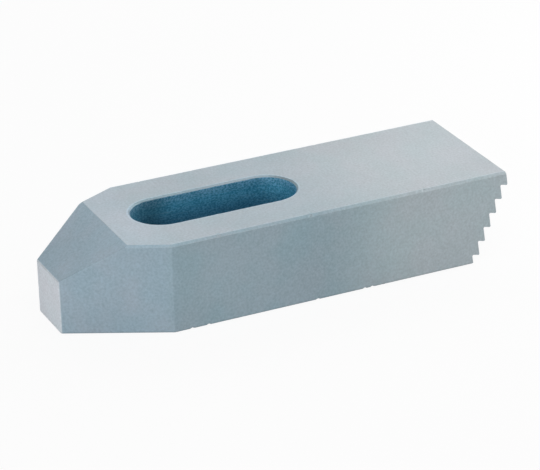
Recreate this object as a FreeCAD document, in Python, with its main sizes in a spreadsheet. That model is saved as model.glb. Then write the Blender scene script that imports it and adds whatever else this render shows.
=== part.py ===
import FreeCAD, Part
import math
import os
import Sketcher

# A step clamp: one bar of steel with a tapered, sloped nose that presses on the work,
# a long slot for the clamping stud and a stepped heel that locks into a step block.
#
# Millimetres and degrees. Y runs along the bar from the nose to the heel, X across it and
# Z up from the base. The sketches count Y from the nose face, and the body's placement
# then centres the bar on the origin.

DIMENSIONS = [
    ("bar_length", 160.0, "nose face to the tip of the first step"),
    ("bar_width", 54.0, "across the straight sides"),
    ("bar_height", 32.0, "base to top"),
    ("nose_width", 19.6, "across the nose face"),
    ("nose_height", 19.0, "base to the foot of the nose slope"),
    ("slope_run", 21.3, "length of the nose slope along the bar"),
    ("taper_run", 34.0, "length of the side tapers along the bar"),
    ("slot_width", 22.0, "clears a 20 mm stud"),
    ("slot_length", 60.0, "end to end"),
    ("slot_start", 31.3, "nose face to the slot"),
    ("step_rise", 4.84, "height of one step"),
    ("step_run", 2.18, "how far each step stands back below the one above"),
    ("first_step_drop", 5.05, "top of the bar to the tip of the first step"),
    ("flank_lean", 7.2, "degrees by which a step's flank leans out towards its tip"),
    ("ledge_fall", 13.5, "degrees by which a step's ledge falls towards its tip"),
    ("tip_radius", 0.45, "rounding of the step tips"),
    ("root_radius", 0.4, "rounding of the step roots"),
    ("long_chamfer", 0.8, "upper edges of the sides and tapers"),
    ("slot_chamfer", 0.6, "both mouths of the slot"),
    ("nose_radius", 1.0, "upright edges of the nose face"),
    ("base_radius", 0.5, "outer edges of the base"),
    ("edge_break", 0.3, "edges of the nose slope and the top of the heel"),
]

TIP_HEIGHT = "(Sizes.bar_height - Sizes.first_step_drop)"  # of the first step, above the base
NEAR = 0.01  # an edge this close to a plane or a line lies on it


def make_sheet(doc):
    """Put every driving dimension in one spreadsheet, one aliased cell each."""
    sheet = doc.addObject("Spreadsheet::Sheet", "Sizes")
    for row, (alias, value, meaning) in enumerate(DIMENSIONS, start=1):
        sheet.set(f"A{row}", meaning)
        sheet.set(f"B{row}", str(value))
        sheet.setAlias(f"B{row}", alias)
    doc.recompute()
    return sheet


def add_feature(body, kind, name, **bindings):
    """Add a PartDesign feature and bind its properties to expressions."""
    feature = body.newObject(f"PartDesign::{kind}", name)
    for property_name, expression in bindings.items():
        feature.setExpression(property_name, expression)
    return feature


def new_sketch(body, name, role):
    """Start a sketch on one of the body's own origin planes."""
    sketch = body.newObject("Sketcher::SketchObject", name)
    plane = next(f for f in body.Origin.OriginFeatures if f.Role == role)
    sketch.AttachmentSupport = [(plane, "")]
    sketch.MapMode = "FlatFace"
    return sketch


def bind(sketch, label, constraint, expression):
    """Add a dimension to a sketch and drive it from the spreadsheet."""
    index = sketch.addConstraint(constraint)
    sketch.renameConstraint(index, label)
    sketch.setExpression(f"Constraints.{label}", expression)


def outline_sketch(body, name, role, corners):
    """Sketch a closed outline, with each corner dimensioned from the origin."""
    sketch = new_sketch(body, name, role)
    count = len(corners)
    turn = 2 * math.pi / count
    rough = [FreeCAD.Vector(math.cos(i * turn), math.sin(i * turn), 0) for i in range(count)]
    for i in range(count):
        sketch.addGeometry(Part.LineSegment(rough[i], rough[(i + 1) % count]))
    for i in range(count):
        sketch.addConstraint(Sketcher.Constraint("Coincident", i, 2, (i + 1) % count, 1))
    for i, (across, up) in enumerate(corners):
        bind(sketch, f"across{i}", Sketcher.Constraint("DistanceX", -1, 1, i, 1, 1.0), across)
        bind(sketch, f"up{i}", Sketcher.Constraint("DistanceY", -1, 1, i, 1, 1.0), up)
    return sketch


def cut_through(body, name, sketch):
    """Cut a sketch's outline right through the bar, both ways."""
    pocket = add_feature(body, "Pocket", name)
    pocket.Profile = sketch
    pocket.Type = "ThroughAll"
    pocket.SideType = "Symmetric"
    body.Document.recompute()
    return pocket


def edges_where(feature, test):
    """Name the edges of a feature that pass a test on their middle and their direction."""
    names = []
    for number, edge in enumerate(feature.Shape.Edges, start=1):
        middle = edge.CenterOfMass
        run = edge.lastVertex().Point - edge.firstVertex().Point
        if run.Length > NEAR and test(middle, run.normalize()):
            names.append(f"Edge{number}")
    return names


def dress(body, kind, name, size_name, alias, names):
    """Round or chamfer the named edges of the body's tip."""
    base = body.Tip
    feature = add_feature(body, kind, name, **{size_name: f"Sizes.{alias}"})
    feature.Base = (base, names)
    body.Document.recompute()
    return feature


def make_blank(body):
    """Extrude the side view across the bar: base, raked heel, top, nose slope and nose."""
    side_view = outline_sketch(body, "side_view", "YZ_Plane", [
        ("0", "0"),
        (f"Sizes.bar_length - {TIP_HEIGHT} * Sizes.step_run / Sizes.step_rise", "0"),
        ("Sizes.bar_length", TIP_HEIGHT),
        ("Sizes.bar_length - Sizes.first_step_drop * tan(Sizes.flank_lean)", "Sizes.bar_height"),
        ("Sizes.slope_run", "Sizes.bar_height"),
        ("0", "Sizes.nose_height"),
    ])
    blank = add_feature(body, "Pad", "blank", Length="Sizes.bar_width")
    blank.Profile = side_view
    blank.SideType = "Symmetric"
    body.Document.recompute()


def make_tapers(body):
    """Cut one side of the nose back to its taper and mirror the cut to the other side."""
    corner = outline_sketch(body, "taper_plan", "XY_Plane", [
        ("Sizes.nose_width / 2", "0"),
        ("Sizes.bar_width / 2", "0"),
        ("Sizes.bar_width / 2", "Sizes.taper_run"),
    ])
    taper = cut_through(body, "taper", corner)
    mirror = add_feature(body, "Mirrored", "both_tapers")
    mirror.Originals = [taper]
    middle = next(f for f in body.Origin.OriginFeatures if f.Role == "YZ_Plane")
    mirror.MirrorPlane = (middle, [""])
    body.Tip = mirror
    body.Document.recompute()


def make_slot(body):
    """Cut the round-ended slot: two half circles joined by straight sides."""
    plan = new_sketch(body, "slot_plan", "XY_Plane")
    near_end, far_end = FreeCAD.Vector(0, 1, 0), FreeCAD.Vector(0, 3, 0)
    up = FreeCAD.Vector(0, 0, 1)
    plan.addGeometry(Part.ArcOfCircle(Part.Circle(near_end, up, 1), math.pi, 2 * math.pi))
    plan.addGeometry(Part.LineSegment(FreeCAD.Vector(1, 1, 0), FreeCAD.Vector(1, 3, 0)))
    plan.addGeometry(Part.ArcOfCircle(Part.Circle(far_end, up, 1), 0, math.pi))
    plan.addGeometry(Part.LineSegment(FreeCAD.Vector(-1, 3, 0), FreeCAD.Vector(-1, 1, 0)))
    for i in range(4):
        plan.addConstraint(Sketcher.Constraint("Tangent", i, 2, (i + 1) % 4, 1))
    for arc in (0, 2):
        plan.addConstraint(Sketcher.Constraint("PointOnObject", arc, 3, -2))
    plan.addConstraint(Sketcher.Constraint("Equal", 0, 2))
    half_width = "Sizes.slot_width / 2"
    bind(plan, "end_radius", Sketcher.Constraint("Radius", 0, 1.0), half_width)
    bind(plan, "near_centre", Sketcher.Constraint("DistanceY", -1, 1, 0, 3, 1.0),
         f"Sizes.slot_start + {half_width}")
    bind(plan, "centre_gap", Sketcher.Constraint("DistanceY", 0, 3, 2, 3, 2.0),
         "Sizes.slot_length - Sizes.slot_width")
    cut_through(body, "slot", plan)


def make_steps(body):
    """Cut one notch under the first step's tip and repeat it down the raked heel."""
    depth = ("((Sizes.step_run + Sizes.step_rise * tan(Sizes.flank_lean))"
             " / (1 - tan(Sizes.flank_lean) * tan(Sizes.ledge_fall)))")
    notch_view = outline_sketch(body, "notch_view", "YZ_Plane", [
        ("Sizes.bar_length", TIP_HEIGHT),
        (f"Sizes.bar_length - {depth}", f"{TIP_HEIGHT} + {depth} * tan(Sizes.ledge_fall)"),
        ("Sizes.bar_length - Sizes.step_run", f"{TIP_HEIGHT} - Sizes.step_rise"),
        ("Sizes.bar_length", f"{TIP_HEIGHT} - Sizes.step_rise"),
    ])
    rake = notch_view.addGeometry(Part.LineSegment(FreeCAD.Vector(), FreeCAD.Vector(1, 1, 0)))
    notch_view.setConstruction(rake, True)
    notch_view.addConstraint(Sketcher.Constraint("Coincident", rake, 1, 0, 1))
    notch_view.addConstraint(Sketcher.Constraint("Coincident", rake, 2, 2, 1))
    notch = cut_through(body, "notch", notch_view)
    steps = add_feature(
        body, "LinearPattern", "steps",
        Offset="sqrt(Sizes.step_rise ^ 2 + Sizes.step_run ^ 2)",
        Occurrences=f"floor({TIP_HEIGHT} / Sizes.step_rise) + 1",
    )
    steps.Originals = [notch]
    steps.Direction = (notch_view, ["Axis0"])
    steps.Mode = "Spacing"
    body.Tip = steps
    body.Document.recompute()


def round_steps(body, sheet):
    """Round the tip and the root of every step."""
    lean = math.tan(math.radians(sheet.flank_lean))
    fall = math.tan(math.radians(sheet.ledge_fall))
    depth = (sheet.step_run + sheet.step_rise * lean) / (1 - lean * fall)
    tips, roots = [], []
    for i in range(body.Tip.Occurrences):
        y = sheet.bar_length - i * sheet.step_run
        z = sheet.bar_height - sheet.first_step_drop - i * sheet.step_rise
        tips.append(FreeCAD.Vector(0, y, z))
        roots.append(FreeCAD.Vector(0, y - depth, z + depth * fall))

    for name, alias, corners in (("tips", "tip_radius", tips), ("roots", "root_radius", roots)):
        names = edges_where(
            body.Tip,
            lambda middle, run: any(middle.distanceToPoint(c) < NEAR for c in corners),
        )
        dress(body, "Fillet", f"step_{name}", "Radius", alias, names)


def finish_edges(body, sheet):
    """Round or chamfer the bar's outer edges, then the two mouths of the slot."""
    height = sheet.bar_height
    half_nose = sheet.nose_width / 2
    half_bar = sheet.bar_width / 2
    slope = (height - sheet.nose_height) / sheet.slope_run

    def runs_along(run, axis):
        return abs(run[axis]) > 1 - NEAR

    def on_side(middle):
        along = min(middle.y / sheet.taper_run, 1)
        return abs(half_nose + (half_bar - half_nose) * along - abs(middle.x)) < NEAR

    def on_slope(middle):
        on_plane = abs(sheet.nose_height + slope * middle.y - middle.z) < NEAR
        return on_plane and middle.y < sheet.slope_run - NEAR

    def in_slot(middle):
        from_start = middle.y - sheet.slot_start
        within = abs(middle.x) < sheet.slot_width / 2 + NEAR
        return within and -NEAR < from_start < sheet.slot_length + NEAR

    def is_nose_upright(middle, run):
        return runs_along(run, 2) and abs(middle.y) < NEAR

    def is_upper_side(middle, run):
        return abs(middle.z - height) < NEAR and on_side(middle) and not runs_along(run, 0)

    def is_base_rim(middle, run):
        return abs(middle.z) < NEAR and not in_slot(middle)

    def is_slope_rim(middle, run):
        return on_slope(middle)

    def is_heel_top(middle, run):
        behind = sheet.bar_length - middle.y
        return abs(middle.z - height) < NEAR and behind < sheet.first_step_drop

    def is_slot_mouth(middle, run):
        return in_slot(middle) and min(abs(middle.z), abs(middle.z - height)) < NEAR

    for kind, name, size_name, alias, test in (
        ("Fillet", "nose_uprights", "Radius", "nose_radius", is_nose_upright),
        ("Chamfer", "upper_side_edges", "Size", "long_chamfer", is_upper_side),
        ("Fillet", "base_rim", "Radius", "base_radius", is_base_rim),
        ("Fillet", "slope_rim", "Radius", "edge_break", is_slope_rim),
        ("Fillet", "heel_top", "Radius", "edge_break", is_heel_top),
        ("Chamfer", "slot_mouths", "Size", "slot_chamfer", is_slot_mouth),
    ):
        dress(body, kind, name, size_name, alias, edges_where(body.Tip, test))


def check(doc, body):
    """Stop if anything in the document failed or the bar isn't one sound solid."""
    for item in doc.Objects:
        if {"Invalid", "Error"} & set(item.State):
            raise RuntimeError(f"{item.Label} failed: {item.State}")
    if body.Shape.isNull() or not body.Shape.isValid() or len(body.Shape.Solids) != 1:
        raise RuntimeError(f"{body.Label} has no valid single solid")


def main():
    doc = FreeCAD.newDocument("step_clamp")
    sheet = make_sheet(doc)
    body = doc.addObject("PartDesign::Body", "clamp_bar")
    body.Label = "clamp_bar"
    make_blank(body)
    make_tapers(body)
    make_slot(body)
    make_steps(body)
    round_steps(body, sheet)
    finish_edges(body, sheet)
    body.setExpression("Placement.Base.y", "-Sizes.bar_length / 2")
    doc.recompute()
    check(doc, body)
    os.makedirs("parts", exist_ok=True)
    body.Shape.exportStep(f"parts/{body.Label}.step")
    print(f"{body.Label}: {body.Shape.Volume / 1000:.2f} cubic centimetres")


main()
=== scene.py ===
"""A step clamp: one bar of blasted steel with a milled slot and a stepped heel."""
import math
import random

import bmesh
import bpy
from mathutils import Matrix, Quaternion, Vector, noise

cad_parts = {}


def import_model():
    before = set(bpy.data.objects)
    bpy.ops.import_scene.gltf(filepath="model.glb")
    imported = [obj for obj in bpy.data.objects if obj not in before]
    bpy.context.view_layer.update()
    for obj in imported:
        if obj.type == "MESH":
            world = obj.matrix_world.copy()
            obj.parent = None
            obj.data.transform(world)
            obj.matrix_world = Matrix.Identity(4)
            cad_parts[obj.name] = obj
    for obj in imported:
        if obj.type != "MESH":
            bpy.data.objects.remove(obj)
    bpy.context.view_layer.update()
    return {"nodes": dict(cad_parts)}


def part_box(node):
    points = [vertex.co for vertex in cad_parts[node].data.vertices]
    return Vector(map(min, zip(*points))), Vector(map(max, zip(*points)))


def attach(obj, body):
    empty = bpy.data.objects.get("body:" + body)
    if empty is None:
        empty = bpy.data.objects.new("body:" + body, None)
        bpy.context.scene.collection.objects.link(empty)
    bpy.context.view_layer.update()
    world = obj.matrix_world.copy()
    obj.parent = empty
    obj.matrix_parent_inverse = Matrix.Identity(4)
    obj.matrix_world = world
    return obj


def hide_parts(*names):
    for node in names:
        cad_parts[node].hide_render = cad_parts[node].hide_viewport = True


MM = 0.001
UP = Vector((0, 0, 1))

# The bar's own sizes, in metres. Y runs from the nose to the heel.
BAR_LENGTH = 160 * MM
BAR_WIDTH = 54 * MM
BAR_HEIGHT = 32 * MM
LONG_CHAMFER = 0.8 * MM
TAPER_RUN = 34 * MM
SLOT_START = 31.3 * MM
SLOT_LENGTH = 60 * MM
SLOT_RADIUS = 11 * MM
SLOT_STRAIGHT = SLOT_LENGTH / 2 - SLOT_RADIUS  # from the slot's middle to where its ends turn
SLOT_CHAMFER = 0.6 * MM
SLOT_MIDDLE = -BAR_LENGTH / 2 + SLOT_START + SLOT_LENGTH / 2
HEEL_DEPTH = 16 * MM  # how far the stepped heel reaches back along the bar

# How the edges are worn.
SLICE = 0.4 * MM  # spacing of the extra points along the edges
CHAMFER_NORMAL = math.sqrt(0.5)  # upward part of the normal of a 45 degree chamfer
LONG_WAVE, LONG_WAVE_DEPTH = 14 * MM, 0.05 * MM
SHORT_WAVE, SHORT_WAVE_DEPTH = 1.8 * MM, 0.045 * MM
NICK_RADIUS = 1.1 * MM
NICK_DEPTH = 0.35 * MM
NEAR_EDGE_NICKS = (-28.8 * MM, 5.1 * MM, 47.8 * MM)  # along the upper edge on the +X side
OTHER_NICKS = 14
OTHER_NICK_SIZE = 0.7  # of NICK_RADIUS
NICK_SEED = 7
EDGE_BAND = 1.2 * MM  # width of the band beside each long edge that the wear may reach
EDGE_BAND_X = BAR_WIDTH / 2 - LONG_CHAMFER - EDGE_BAND
SHARP_ANGLE = math.radians(20)
SAME = 1e-6  # metres: points closer than this are one point

# The finishes. A share says how far a second colour covers the first, from 0 to 1.
METAL_SHARE = 0.5
BLASTED_ROUGHNESS = 0.5
CUT_ROUGHNESS = 0.6
BUMP_HEIGHT = 0.05 * MM
TOP_LIGHT_SHARE = 0.45  # of pale grey on the top face: painted light for the light and sheen that the top catches
NOSE_LIGHT_SHARE = 0.9  # of pale grey on the nose face: painted light for the light that falls on it
CLOUD_SHARE = 0.15  # of pale grey in the clouds
RUBBED_SHARE = 0.6  # of bare metal on a fully rubbed edge
NICK_SHARE = 0.3  # of bare metal in the middle of a nick
MARK_SHARE = 0.4  # of the cutter marks' colour
FOOT_SHADE = 0.78  # the darker line along the foot: painted contact shadow where the bar meets the floor
RIM_LINE = 0.8 * MM  # width of the painted highlight lines on the top face

# The materials of the bar's mesh, in their order.
OUTSIDE, SLOT_WALL, STEPS = range(3)

# The studio.
ROOM_GLOW = 0.12  # the room's own light, the same from every side
FLOOR_SEEN = 0.92  # how far the floor glows white to the camera
FLOOR_MIRRORED = 0.585  # how far it glows white in the steel
FLOOR_SIZE = 12
FLOOR_GAP = 0.2 * MM  # the floor lies this far under the foot
BOX_SIZE = 0.6
CARD_SIZE = 0.2


# ---------------------------------------------------------------- shader helpers


def new_group(name, inputs, outputs):
    """Make an empty shader node group with named sockets; each input is (name, type, default)."""
    group = bpy.data.node_groups.new(name, "ShaderNodeTree")
    for socket_name, kind, default in inputs:
        socket = group.interface.new_socket(socket_name, in_out="INPUT", socket_type=kind)
        if default is not None:
            socket.default_value = default
    for socket_name, kind in outputs:
        group.interface.new_socket(socket_name, in_out="OUTPUT", socket_type=kind)
    return group, group.nodes.new("NodeGroupInput").outputs, group.nodes.new("NodeGroupOutput").inputs


def feed(tree, socket, value):
    """Link a socket to another node's output, or set it to a plain value."""
    if isinstance(value, bpy.types.NodeSocket):
        tree.links.new(value, socket)
    elif value is not None:
        socket.default_value = value


def calc(tree, operation, *values):
    """Work out one number from others."""
    node = tree.nodes.new("ShaderNodeMath")
    node.operation = operation
    for socket, value in zip(node.inputs, values):
        feed(tree, socket, value)
    return node.outputs[0]


def vector_calc(tree, operation, *values):
    """Work out one vector, or its length or dot product, from others."""
    node = tree.nodes.new("ShaderNodeVectorMath")
    node.operation = operation
    for socket, value in zip(node.inputs, values):
        feed(tree, socket, value)
    return node.outputs["Value" if operation in ("LENGTH", "DOT_PRODUCT") else "Vector"]


def noise_value(tree, place, scale, detail=2.0, roughness=0.5):
    """Soft noise from 0 to 1."""
    node = tree.nodes.new("ShaderNodeTexNoise")
    feed(tree, node.inputs["Vector"], place)
    feed(tree, node.inputs["Scale"], scale)
    feed(tree, node.inputs["Detail"], detail)
    feed(tree, node.inputs["Roughness"], roughness)
    return node.outputs["Fac"]


def remap(tree, value, low, high, to_low=0.0, to_high=1.0, smooth=True):
    """Turn low..high into to_low..to_high, and stay there beyond both ends."""
    node = tree.nodes.new("ShaderNodeMapRange")
    node.interpolation_type = "SMOOTHSTEP" if smooth else "LINEAR"
    for name, number in (("Value", value), ("From Min", low), ("From Max", high),
                         ("To Min", to_low), ("To Max", to_high)):
        feed(tree, node.inputs[name], number)
    return node.outputs["Result"]


def mix_color(tree, share, first, second, blend="MIX"):
    """Lay the second colour over the first by its share."""
    node = tree.nodes.new("ShaderNodeMix")
    node.data_type = "RGBA"
    node.blend_type = blend
    feed(tree, node.inputs["Factor"], share)
    feed(tree, node.inputs["A"], first)
    feed(tree, node.inputs["B"], second)
    return node.outputs["Result"]


# ---------------------------------------------------------------- shared effects


def grain_group():
    """Blasted steel: fine grit, soft mottling, clouds and a slow drift."""
    group, given, out = new_group(
        "blasted_grain",
        (("Vector", "NodeSocketVector", None), ("Grit Size", "NodeSocketFloat", 0.8 * MM),
         ("Mottle Size", "NodeSocketFloat", 3 * MM), ("Cloud Size", "NodeSocketFloat", 16 * MM),
         ("Drift Size", "NodeSocketFloat", 45 * MM), ("Contrast", "NodeSocketFloat", 0.55),
         ("Drift", "NodeSocketFloat", 0.25)),
        (("Tone", "NodeSocketFloat"), ("Cloud", "NodeSocketFloat"), ("Height", "NodeSocketFloat")),
    )

    def noise_of_size(size, detail):
        return noise_value(group, given["Vector"], calc(group, "DIVIDE", 1.0, given[size]), detail)

    def swing(value, share):
        return calc(group, "MULTIPLY", calc(group, "SUBTRACT", value, 0.5), share)

    grit = noise_of_size("Grit Size", 2.0)
    mottle = noise_of_size("Mottle Size", 3.0)
    both = calc(group, "ADD", calc(group, "MULTIPLY", grit, 0.8), calc(group, "MULTIPLY", mottle, 0.2))
    drift = swing(noise_of_size("Drift Size", 1.0), given["Drift"])
    tone = calc(group, "ADD", swing(both, given["Contrast"]), drift)
    feed(group, out["Tone"], calc(group, "ADD", 1.0, tone))
    feed(group, out["Cloud"], remap(group, noise_of_size("Cloud Size", 2.0), 0.3, 0.7))
    feed(group, out["Height"], both)
    return group


def tool_mark_group():
    """Cutter marks: fine scratches drawn out along the way that the cutter ran."""
    group, given, out = new_group(
        "tool_marks",
        (("Vector", "NodeSocketVector", None), ("Stretch", "NodeSocketVector", (1.0, 0.03, 1.0)),
         ("Line Size", "NodeSocketFloat", 0.35 * MM)),
        (("Mask", "NodeSocketFloat"), ("Height", "NodeSocketFloat")),
    )
    drawn_out = vector_calc(group, "MULTIPLY", given["Vector"], given["Stretch"])
    per_metre = calc(group, "DIVIDE", 1.0, given["Line Size"])
    lines = noise_value(group, drawn_out, per_metre, 3.0, 0.6)
    feed(group, out["Mask"], remap(group, lines, 0.52, 0.72))
    feed(group, out["Height"], lines)
    return group


def edge_wear_group():
    """Rubbed edges: how far a rounded normal leans away from the true one, broken up by noise."""
    group, given, out = new_group(
        "edge_wear",
        (("Vector", "NodeSocketVector", None), ("Radius", "NodeSocketFloat", 0.35 * MM),
         ("Low", "NodeSocketFloat", 0.02), ("High", "NodeSocketFloat", 0.12)),
        (("Mask", "NodeSocketFloat"),),
    )
    bevel = group.nodes.new("ShaderNodeBevel")
    bevel.samples = 8
    feed(group, bevel.inputs["Radius"], given["Radius"])
    geometry = group.nodes.new("ShaderNodeNewGeometry")
    alike = vector_calc(group, "DOT_PRODUCT", bevel.outputs["Normal"], geometry.outputs["Normal"])
    lean = calc(group, "SUBTRACT", 1.0, alike)
    rubbed = remap(group, lean, given["Low"], given["High"])
    patchy = noise_value(group, given["Vector"], 1 / (2.2 * MM), 3.0, 0.6)
    feed(group, out["Mask"], calc(group, "MULTIPLY", rubbed, remap(group, patchy, 0.25, 0.6, 0.35, 1.0)))
    return group


# ---------------------------------------------------------------- materials


def new_material(name, metallic, roughness):
    """Start a material; returns it, its tree, its Principled BSDF and the object coordinates."""
    material = bpy.data.materials.new(name)
    material.use_nodes = True
    tree = material.node_tree
    shader = tree.nodes["Principled BSDF"]
    shader.inputs["Metallic"].default_value = metallic
    shader.inputs["Roughness"].default_value = roughness
    place = tree.nodes.new("ShaderNodeTexCoord").outputs["Object"]
    return material, tree, shader, place


def place_group(tree, group, **values):
    """Put a shared group in a material, with this material's own values."""
    node = tree.nodes.new("ShaderNodeGroup")
    node.node_tree = group
    for name, value in values.items():
        feed(tree, node.inputs[name.replace("_", " ")], value)
    return node.outputs


def bump(tree, height, strength, normal=None):
    """Raise and sink the surface a little by a height from 0 to 1."""
    node = tree.nodes.new("ShaderNodeBump")
    feed(tree, node.inputs["Height"], height)
    node.inputs["Strength"].default_value = strength
    node.inputs["Distance"].default_value = BUMP_HEIGHT
    feed(tree, node.inputs["Normal"], normal)
    return node.outputs["Normal"]


def axes(tree, place):
    """The object coordinates one by one: across the bar, along it and up."""
    parts = tree.nodes.new("ShaderNodeSeparateXYZ")
    feed(tree, parts.inputs[0], place)
    return parts.outputs


def nick_mask(tree, place):
    """Bare metal at the knocked places of the near upper edge."""
    mask = 0.0
    for middle in near_nicks():
        away = vector_calc(tree, "LENGTH", vector_calc(tree, "SUBTRACT", place, middle))
        spot = remap(tree, away, 0.3 * MM, 1.0 * MM, NICK_SHARE, 0.0)
        mask = calc(tree, "MAXIMUM", mask, spot)
    return mask


def slot_reach(tree, at):
    """How far a point is from the middle line of the slot, seen from above."""
    along = calc(tree, "ABSOLUTE", calc(tree, "SUBTRACT", at["Y"], SLOT_MIDDLE))
    past = calc(tree, "MAXIMUM", calc(tree, "SUBTRACT", along, SLOT_STRAIGHT), 0.0)
    past_squared = calc(tree, "MULTIPLY", past, past)
    across_squared = calc(tree, "MULTIPLY", at["X"], at["X"])
    return calc(tree, "SQRT", calc(tree, "ADD", past_squared, across_squared))


def rim_highlight_mask(tree, at, top):
    """Painted highlights: thin pale lines on the top face, round the slot's mouth and along the long
    edges.
    """
    mouth = SLOT_RADIUS + SLOT_CHAMFER
    ring = remap(tree, slot_reach(tree, at), mouth + 0.1 * MM, mouth + RIM_LINE, 1.0, 0.0)
    edge = BAR_WIDTH / 2 - LONG_CHAMFER
    across = calc(tree, "ABSOLUTE", at["X"])
    long_highlights = remap(tree, across, edge - RIM_LINE, edge, 0.0, 0.5)
    return calc(tree, "MULTIPLY", calc(tree, "MAXIMUM", ring, long_highlights), top)


def blasted_steel(grain, wear):
    """The outside: matte bluish steel, greyer towards the heel, with painted shade behind the taper,
    painted light towards the heel, and painted light that makes the top and nose paler.
    """
    nose_blue = (0.335, 0.450, 0.525, 1)
    shaded_side_blue = (0.312, 0.433, 0.490, 1)
    heel_grey_and_light = (0.420, 0.508, 0.537, 1)
    pale_grey = (0.475, 0.500, 0.522, 1)
    nose_painted_light = (0.690, 0.745, 0.790, 1)
    rosy = (1.04, 1.00, 1.01, 1)
    painted_rim_highlight = (1.08, 1.16, 1.21, 1)
    bright = (0.62, 0.66, 0.69, 1)
    material, tree, shader, place = new_material("blasted_steel", METAL_SHARE, BLASTED_ROUGHNESS)
    speck = place_group(tree, grain, Vector=place)
    at = axes(tree, place)
    # Painted shade: behind the taper the side and top are made a little darker than at the nose.
    behind_taper = remap(tree, at["Y"], -50 * MM, -42 * MM)
    body = mix_color(tree, behind_taper, nose_blue, shaded_side_blue)
    # Greyer steel towards the heel, also made lighter there: painted light for the brighter reflection
    # along the side.
    body = mix_color(tree, remap(tree, at["Y"], 0, 45 * MM), body, heel_grey_and_light)
    top = remap(tree, at["Z"], BAR_HEIGHT - 0.06 * MM, BAR_HEIGHT - 0.02 * MM)
    # Painted light: the top face is mixed towards pale grey for the light and sheen it catches.
    top_light_share = calc(tree, "MULTIPLY", top, TOP_LIGHT_SHARE)
    nose = -BAR_LENGTH / 2
    # Painted light: the nose face is made much paler for the light that falls on it.
    nose_light_share = remap(tree, at["Y"], nose + 0.6 * MM, nose + 0.2 * MM, 0.0, NOSE_LIGHT_SHARE)
    body = mix_color(tree, top_light_share, body, pale_grey)
    body = mix_color(tree, nose_light_share, body, nose_painted_light)
    body = mix_color(tree, calc(tree, "MULTIPLY", speck["Cloud"], CLOUD_SHARE), body, pale_grey)
    cloudy = mix_color(tree, speck["Cloud"], body, rosy, "MULTIPLY")
    # Painted highlight: pale lines along the slot's mouth and the long edges of the top.
    cloudy = mix_color(tree, rim_highlight_mask(tree, at, top), cloudy, painted_rim_highlight, "MULTIPLY")
    # Painted shadow: the steel is darkened along the foot, where it meets the floor.
    foot = remap(tree, at["Z"], 0.2 * MM, 0.8 * MM, FOOT_SHADE, 1.0)
    toned = vector_calc(tree, "SCALE", cloudy)
    feed(tree, toned.node.inputs["Scale"], calc(tree, "MULTIPLY", speck["Tone"], foot))
    rubbed = place_group(tree, wear, Vector=place)["Mask"]
    above_foot = remap(tree, at["Z"], 0.8 * MM, 2 * MM, 0.0, RUBBED_SHARE)
    worn = calc(tree, "MULTIPLY", rubbed, above_foot)
    bare = calc(tree, "MAXIMUM", worn, nick_mask(tree, place))
    color = mix_color(tree, bare, toned, bright)
    feed(tree, shader.inputs["Base Color"], color)
    feed(tree, shader.inputs["Normal"], bump(tree, speck["Height"], 0.25))
    return material


def milled_steel(name, grain, marks, stretch, dark, light, line, tints=(), fades=()):
    """A cut face: dark and light specks, with the cutter's marks along its travel.

    Each tint is (axis, start, end, color): the color multiplies the steel, fully from end on.
    Each fade is (axis, start, end, shade), in the same way.
    """
    material, tree, shader, place = new_material(name, METAL_SHARE, CUT_ROUGHNESS)
    least_stretch = 0.6
    drawn_out = vector_calc(
        tree, "MULTIPLY", place, tuple(max(least_stretch, s) for s in stretch)
    )
    speck = place_group(tree, grain, Vector=drawn_out, Grit_Size=0.5 * MM, Contrast=0.3)
    lines = place_group(tree, marks, Vector=place, Stretch=stretch)
    color = mix_color(tree, remap(tree, speck["Height"], 0.38, 0.62), dark, light)
    color = mix_color(tree, calc(tree, "MULTIPLY", lines["Mask"], MARK_SHARE), color, line)
    at = axes(tree, place)
    for axis, start, end, tint in tints:
        share = remap(tree, at[axis], start, end, smooth=False)
        color = mix_color(tree, share, color, tint, "MULTIPLY")
    shade = speck["Tone"]
    for axis, start, end, darkest in fades:
        shade = calc(tree, "MULTIPLY", shade, remap(tree, at[axis], start, end, 1.0, darkest))
    color = vector_calc(tree, "SCALE", color)
    feed(tree, color.node.inputs["Scale"], shade)
    feed(tree, shader.inputs["Base Color"], color)
    first = bump(tree, speck["Height"], 0.2)
    feed(tree, shader.inputs["Normal"], bump(tree, lines["Height"], 0.35, first))
    return material


def slot_wall_painted_shade(grain, marks):
    """The slot's wall: painted shade, a deep blue that stands in for the shade inside the slot, with
    painted light making it paler at the mouth and painted shade making it darker far down and at the
    nose end.
    """
    # Painted light and shade: paler at the mouth, darker far down and at the nose end, for how light
    # enters the slot.
    mouth_painted_light = ("Z", 28 * MM, 31.5 * MM, (2.2, 1.25, 1.18, 1))
    deep_painted_shade = ("Z", 27 * MM, 21.5 * MM, (0.55, 0.55, 0.60, 1))
    nose_end_painted_shade = ("Y", -28 * MM, -38 * MM, 0.6)
    return milled_steel(
        "slot_wall_painted_shade", grain, marks,
        stretch=(1.0, 0.03, 1.0),
        # Painted shade: these dark blues stand in for the shade inside the slot.
        dark=(0.040, 0.290, 0.455, 1),
        light=(0.138, 0.495, 0.700, 1),
        line=(0.30, 0.66, 0.84, 1),
        tints=(mouth_painted_light, deep_painted_shade),
        fades=(nose_end_painted_shade,),
    )


def step_steel(grain, marks):
    """The heel's steps: cut across the bar, as grey as the side beside them."""
    return milled_steel(
        "step_steel", grain, marks,
        stretch=(0.03, 1.0, 1.0),
        dark=(0.38, 0.43, 0.46, 1),
        light=(0.47, 0.51, 0.54, 1),
        line=(0.62, 0.66, 0.69, 1),
    )


# ---------------------------------------------------------------- the bar


def merged_copy(node):
    """The CAD node's triangles as one closed surface."""
    bm = bmesh.new()
    bm.from_mesh(node.data)
    bmesh.ops.remove_doubles(bm, verts=bm.verts, dist=SAME)
    return bm


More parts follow.
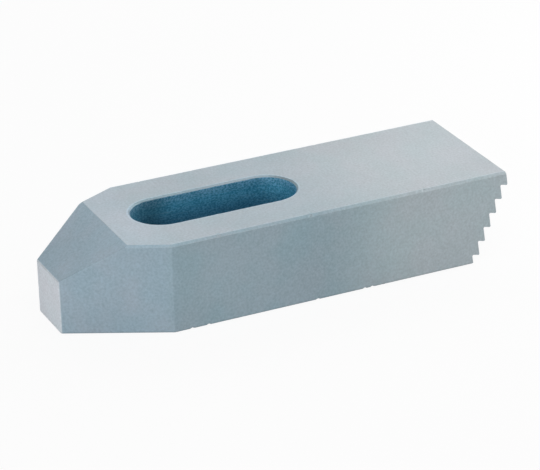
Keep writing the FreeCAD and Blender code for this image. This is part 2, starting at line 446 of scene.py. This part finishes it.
def cut(bm, place, across):
    """Cut the surface by a plane, and keep both sides."""
    everything = bm.verts[:] + bm.edges[:] + bm.faces[:]
    bmesh.ops.bisect_plane(bm, geom=everything, dist=SAME, plane_co=place, plane_no=across)


def slice_along(bm, low, high, step):
    """Cut the surface across Y at even steps, so that the long edges have points to wear."""
    for i in range(1, int((high - low) / step)):
        cut(bm, (0, low + i * step, 0), (0, 1, 0))


def frame_edges(bm):
    """Cut a narrow band beside each long edge, so that its wear stays near it."""
    for x in (-EDGE_BAND_X, EDGE_BAND_X):
        cut(bm, (x, 0, 0), (1, 0, 0))
    for z in (EDGE_BAND, BAR_HEIGHT - LONG_CHAMFER - EDGE_BAND):
        cut(bm, (0, 0, z), UP)


def in_slot(center):
    """Whether a point of the surface lies inside the slot or on one of its mouths."""
    along = max(abs(center.y - SLOT_MIDDLE) - SLOT_STRAIGHT, 0)
    return math.hypot(center.x, along) < SLOT_RADIUS + SLOT_CHAMFER + 0.1 * MM


def is_chamfer(face):
    """Whether a face is part of the upper side chamfers or of a mouth of the slot."""
    center = face.calc_center_median()
    at_top = center.z > BAR_HEIGHT - MM
    at_slot = center.z < MM and in_slot(center)
    return abs(abs(face.normal.z) - CHAMFER_NORMAL) < 0.01 and (at_top or at_slot)


def wear_chamfers(bm):
    """Let the edges of each chamfer wander in the flat face beside it, as a hand-guided cut does."""
    same_plane = 0.999  # normals whose dot product is above this share a plane
    least_lean = 0.5
    moves = []
    for vert in bm.verts:
        chamfers = [f for f in vert.link_faces if is_chamfer(f)]
        flats = [f for f in vert.link_faces if not is_chamfer(f)]
        if not chamfers or not flats:
            continue
        flat = flats[0].normal
        if any(flat.dot(f.normal) < same_plane for f in flats):
            continue
        slope = sum((f.normal for f in chamfers), Vector()).normalized()
        within = slope - slope.dot(flat) * flat
        if within.length < least_lean:
            continue
        depth = (LONG_WAVE_DEPTH * noise.noise(vert.co / LONG_WAVE)
                 + SHORT_WAVE_DEPTH * noise.noise(vert.co / SHORT_WAVE))
        moves.append((vert, within * (-depth / within.length_squared)))
    for vert, move in moves:
        vert.co += move


def near_nicks():
    """Middles of the three nicks that show on the near upper edge, on its chamfer."""
    inset = LONG_CHAMFER / 2
    return [Vector((BAR_WIDTH / 2 - inset, y, BAR_HEIGHT - inset)) for y in NEAR_EDGE_NICKS]


def nick_places():
    """All the knocked points of the long edges: the near ones and some more at random."""
    places = near_nicks()
    chance = random.Random(NICK_SEED)
    for _ in range(OTHER_NICKS):
        side = chance.choice((-1, 1))
        y = chance.uniform(-BAR_LENGTH / 2 + TAPER_RUN, BAR_LENGTH / 2)
        z = chance.choice((0, BAR_HEIGHT - LONG_CHAMFER / 2))
        places.append(Vector((side * (BAR_WIDTH - LONG_CHAMFER) / 2, y, z)))
    return places


def knock_nicks(bm):
    """Push the edge in towards the middle of the bar round each nick."""
    for number, place in enumerate(nick_places()):
        upward = 1 if place.z < BAR_HEIGHT / 2 else -1
        inward = Vector((-math.copysign(1, place.x), 0, upward))
        radius = NICK_RADIUS
        if number >= len(NEAR_EDGE_NICKS):
            radius *= OTHER_NICK_SIZE
        for vert in bm.verts:
            away = (vert.co - place).length / radius
            if away < 1:
                vert.co += inward * NICK_DEPTH * (1 - away * away) ** 2


def in_steps(center, normal):
    """Whether a face belongs to the heel's steps: at the heel, and not a side, the top or the foot."""
    at_heel = center.y > BAR_LENGTH / 2 - HEEL_DEPTH
    return at_heel and abs(normal.x) < 0.2 and abs(normal.z) < 0.98


def make_bar(node, finishes):
    """The dressed bar: the CAD solid's surface with worn edges, smooth rounds and its finishes."""
    low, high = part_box(node.name)
    bm = merged_copy(node)
    frame_edges(bm)
    slice_along(bm, low.y, high.y, SLICE)
    bm.normal_update()
    wear_chamfers(bm)
    knock_nicks(bm)
    bmesh.ops.triangulate(bm, faces=[f for f in bm.faces if len(f.verts) > 4])
    bm.normal_update()
    for face in bm.faces:
        face.smooth = True
        center = face.calc_center_median()
        if in_slot(center) and abs(face.normal.z) < 0.2:
            face.material_index = SLOT_WALL
        elif in_steps(center, face.normal):
            face.material_index = STEPS
        else:
            face.material_index = OUTSIDE
    for edge in bm.edges:
        edge.smooth = edge.calc_face_angle(0) < SHARP_ANGLE
    mesh = bpy.data.meshes.new("dressed_bar")
    for finish in finishes:
        mesh.materials.append(finish)
    bm.to_mesh(mesh)
    bm.free()
    bar = bpy.data.objects.new("dressed_bar", mesh)
    bpy.context.scene.collection.objects.link(bar)
    weighted = bar.modifiers.new("flat faces lead", "WEIGHTED_NORMAL")
    weighted.keep_sharp = True
    shaded = bar.evaluated_get(bpy.context.evaluated_depsgraph_get())
    finished = bpy.data.meshes.new_from_object(shaded)
    bar.modifiers.clear()
    bar.data = finished
    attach(bar, "root")
    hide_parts(node.name)
    return bar


# ---------------------------------------------------------------- studio


def make_floor():
    """A pale floor that reads as white and keeps a faint shadow."""
    bpy.ops.mesh.primitive_plane_add(size=FLOOR_SIZE, location=(0, 0, -FLOOR_GAP))
    floor = bpy.context.object
    floor.name = "floor"
    material = bpy.data.materials.new("pale_floor")
    material.use_nodes = True
    tree = material.node_tree
    paint = tree.nodes["Principled BSDF"]
    paint.inputs["Base Color"].default_value = (0.8, 0.8, 0.8, 1)
    paint.inputs["Roughness"].default_value = 1.0
    paint.inputs["Specular IOR Level"].default_value = 0.0
    glow = tree.nodes.new("ShaderNodeEmission")
    glow.inputs["Strength"].default_value = 1.0
    rays = tree.nodes.new("ShaderNodeLightPath").outputs
    seen = calc(tree, "MULTIPLY", rays["Is Camera Ray"], FLOOR_SEEN)
    mirrored = calc(tree, "MULTIPLY", rays["Is Glossy Ray"], FLOOR_MIRRORED)
    blend = tree.nodes.new("ShaderNodeMixShader")
    feed(tree, blend.inputs[0], calc(tree, "MAXIMUM", seen, mirrored))
    feed(tree, blend.inputs[1], paint.outputs[0])
    feed(tree, blend.inputs[2], glow.outputs[0])
    feed(tree, tree.nodes["Material Output"].inputs["Surface"], blend.outputs[0])
    floor.data.materials.append(material)


def make_backdrop():
    """A room that glows faintly all round, and is white to the camera."""
    world = bpy.data.worlds.new("studio")
    bpy.context.scene.world = world
    world.use_nodes = True
    tree = world.node_tree
    light = tree.nodes["Background"]
    light.inputs["Color"].default_value = (1, 1, 1, 1)
    light.inputs["Strength"].default_value = ROOM_GLOW
    white = tree.nodes.new("ShaderNodeBackground")
    white.inputs["Color"].default_value = (1, 1, 1, 1)
    blend = tree.nodes.new("ShaderNodeMixShader")
    feed(tree, blend.inputs[0], tree.nodes.new("ShaderNodeLightPath").outputs["Is Camera Ray"])
    feed(tree, blend.inputs[1], light.outputs[0])
    feed(tree, blend.inputs[2], white.outputs[0])
    feed(tree, tree.nodes["World Output"].inputs["Surface"], blend.outputs[0])


def add_softbox(name, place, size, power):
    """A square soft lamp that faces the middle of the bar."""
    lamp = bpy.data.lights.new(name, "AREA")
    lamp.shape = "SQUARE"
    lamp.size = size
    lamp.energy = power
    holder = bpy.data.objects.new(name, lamp)
    bpy.context.scene.collection.objects.link(holder)
    holder.location = place
    away = Vector(place) - UP * BAR_HEIGHT / 2
    holder.rotation_euler = away.to_track_quat("Z", "Y").to_euler()


def make_lamps():
    """Soft white studio light: low boxes off the nose, a card by the heel, and boxes above."""
    add_softbox("nose_box", (0.0, -0.880, 0.203), BOX_SIZE, 1.40)
    add_softbox("nose_corner_box", (0.622, -0.622, 0.203), BOX_SIZE, 1.98)
    add_softbox("heel_card", (0.0, 0.4, 0.1), CARD_SIZE, 1.04)
    add_softbox("back_corner_box", (-0.521, 0.521, 0.532), BOX_SIZE, 1.60)
    add_softbox("back_box", (-0.737, 0.0, 0.532), BOX_SIZE, 1.98)
    add_softbox("front_box", (0.318, 0.318, 0.795), BOX_SIZE, 1.66)
    add_softbox("top_box", (0.314, -0.206, 0.832), BOX_SIZE, 1.95)


def make_camera():
    """A long lens, a little above the bar and off its nose end."""
    place = Vector((0.81412, -0.37009, 0.42713))
    forward = Vector((-0.82593, 0.37733, -0.41888))
    roll = math.radians(-1.646)
    camera = bpy.data.cameras.new("camera")
    camera.sensor_width = 36
    camera.lens = 191.15
    holder = bpy.data.objects.new("camera", camera)
    bpy.context.scene.collection.objects.link(holder)
    holder.location = place
    aim = forward.to_track_quat("-Z", "Y") @ Quaternion(UP, roll)
    holder.rotation_euler = aim.to_euler()
    bpy.context.scene.camera = holder


def main():
    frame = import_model()
    grain, marks, wear = grain_group(), tool_mark_group(), edge_wear_group()
    finishes = (blasted_steel(grain, wear), slot_wall_painted_shade(grain, marks), step_steel(grain, marks))
    make_bar(frame["nodes"]["clamp_bar"], finishes)
    make_floor()
    make_backdrop()
    make_lamps()
    make_camera()
    bpy.context.scene.view_settings.view_transform = "Standard"


main()
